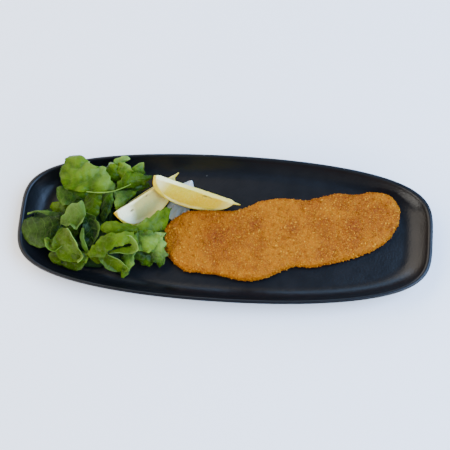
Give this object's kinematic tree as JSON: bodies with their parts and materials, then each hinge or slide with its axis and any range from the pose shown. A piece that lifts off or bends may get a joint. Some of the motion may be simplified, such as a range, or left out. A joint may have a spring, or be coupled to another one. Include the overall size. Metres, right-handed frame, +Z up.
{
  "type": "crumbed schnitzel on a platter",
  "caption": "Long crumbed schnitzel with a leaf salad, lemon wedges and a pale leaf rib, served on a long matte black platter with a rounded rim.",
  "frame": {"origin": "middle of the platter's foot, on the surface it stands on", "axes": "+X along the platter from the salad to the far end of the schnitzel, +Y across it away from the diner, +Z up"},
  "size_m": [0.35, 0.1312, 0.0544],
  "materials": {
    "platter": "black melamine with a fine pebbled satin surface",
    "crust": "fried golden breadcrumb crust, rough and dry, with darker browned patches",
    "lemon": "cut lemon: wet yellow flesh, white pith and a thin yellow rind",
    "rib": "pale translucent leaf rib, moist",
    "lettuce": "fresh lettuce leaves, waxy, dark to yellow green with light margins"
  },
  "bodies": {
    "root": {"plate": "platter", "schnitzel": "crust", "lemon_wedge_left": "lemon", "lemon_wedge_right": "lemon", "pale_rib": "rib", "salad": "lettuce"}
  },
  "joints": []
}
